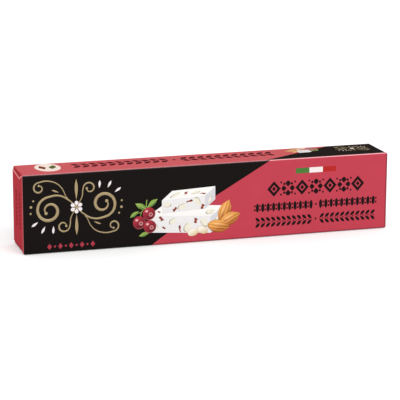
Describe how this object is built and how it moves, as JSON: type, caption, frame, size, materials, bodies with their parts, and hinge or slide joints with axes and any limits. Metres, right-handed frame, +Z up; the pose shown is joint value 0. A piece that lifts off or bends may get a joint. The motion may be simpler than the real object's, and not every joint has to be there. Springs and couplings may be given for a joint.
{
  "type": "nougat carton",
  "caption": "Shut long paperboard carton for a bar of soft nougat, with rounded folds and glued end flaps, standing on its narrow long side.",
  "frame": {"origin": "middle of the face that the carton stands on", "axes": "+X along the carton from its left end to its right end as seen from the front, -Y out of the front panel, +Z up"},
  "size_m": [0.192, 0.0248, 0.04],
  "materials": {
    "printed_board": "satin printed and varnished folding board"
  },
  "bodies": {
    "root": {"carton": "printed_board"}
  },
  "joints": []
}
